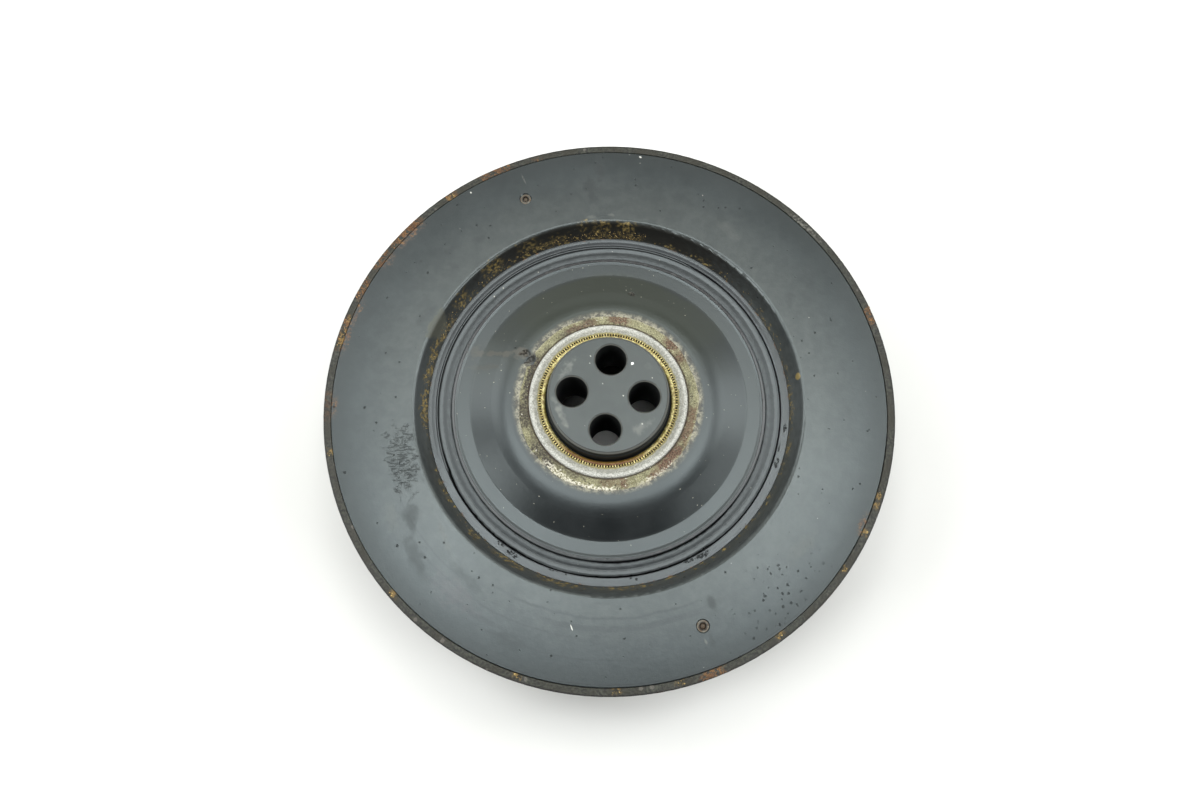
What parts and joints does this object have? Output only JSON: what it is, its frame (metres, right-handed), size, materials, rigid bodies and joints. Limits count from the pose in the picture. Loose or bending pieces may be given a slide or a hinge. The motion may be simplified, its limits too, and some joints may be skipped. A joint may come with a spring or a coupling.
{
  "type": "harmonic balancer",
  "caption": "Crankshaft vibration damper with a grooved belt pulley, a closed fluid housing and a bolted hub carried in a rubber ring.",
  "frame": {"origin": "on the crankshaft axis, in the plane of the pulley's front rim, on which the part stands", "axes": "+Z along the crankshaft axis towards the engine; the four bolt holes lie on the X and Y axes"},
  "size_m": [0.198, 0.198, 0.0623],
  "materials": {
    "pulley_steel": "thin black coating, satin, worn bare on the neck's end",
    "housing_paint": "satin black paint, rusty brown on the bare end of the wall",
    "cover_paint": "satin black paint, dusty and pitted, with a slight blue sheen",
    "plug_steel": "bare steel, dull",
    "plug_ball_steel": "bare steel with brown rust",
    "ring_iron": "turned, oily",
    "bush_plastic": "natural off-white",
    "isolator_rubber": "black, matt, torn along its edges",
    "sleeve_steel": "thin black coating, worn",
    "disc_paint": "satin black coating, white and brown corrosion round the hub",
    "collar_zinc": "zinc plated, speckled grey-white",
    "sleeve_yellow": "yellow passivated zinc plating, dull gold",
    "hub_black": "black phosphate coating, grey where it is rubbed"
  },
  "bodies": {
    "hub": {"hub": "hub_black", "hub_disc": "disc_paint", "knurled_sleeve": "sleeve_yellow", "collar_ring": "collar_zinc", "isolator_sleeve": "sleeve_steel", "isolator_rubber": "isolator_rubber"},
    "damper": {"belt_pulley": "pulley_steel", "damper_housing": "housing_paint", "housing_cover": "cover_paint", "fill_plug_sleeve": "plug_steel", "fill_plug_ball": "plug_ball_steel", "vent_plug_sleeve": "plug_steel", "vent_plug_ball": "plug_ball_steel"},
    "inertia": {"inertia_ring": "ring_iron", "radial_bush": "bush_plastic", "thrust_ring_front": "bush_plastic", "thrust_ring_rear": "bush_plastic"}
  },
  "joints": [
    {"name": "isolator_twist", "type": "hinge", "parent": "hub", "child": "damper", "pos_m": [0, 0, 0.045], "axis": [0, 0, 1], "range_deg": [-2, 2], "stiffness_Nm_per_rad": 2000},
    {"name": "inertia_spin", "type": "hinge", "parent": "damper", "child": "inertia", "pos_m": [0, 0, 0.045], "axis": [0, 0, 1], "continuous": true}
  ]
}
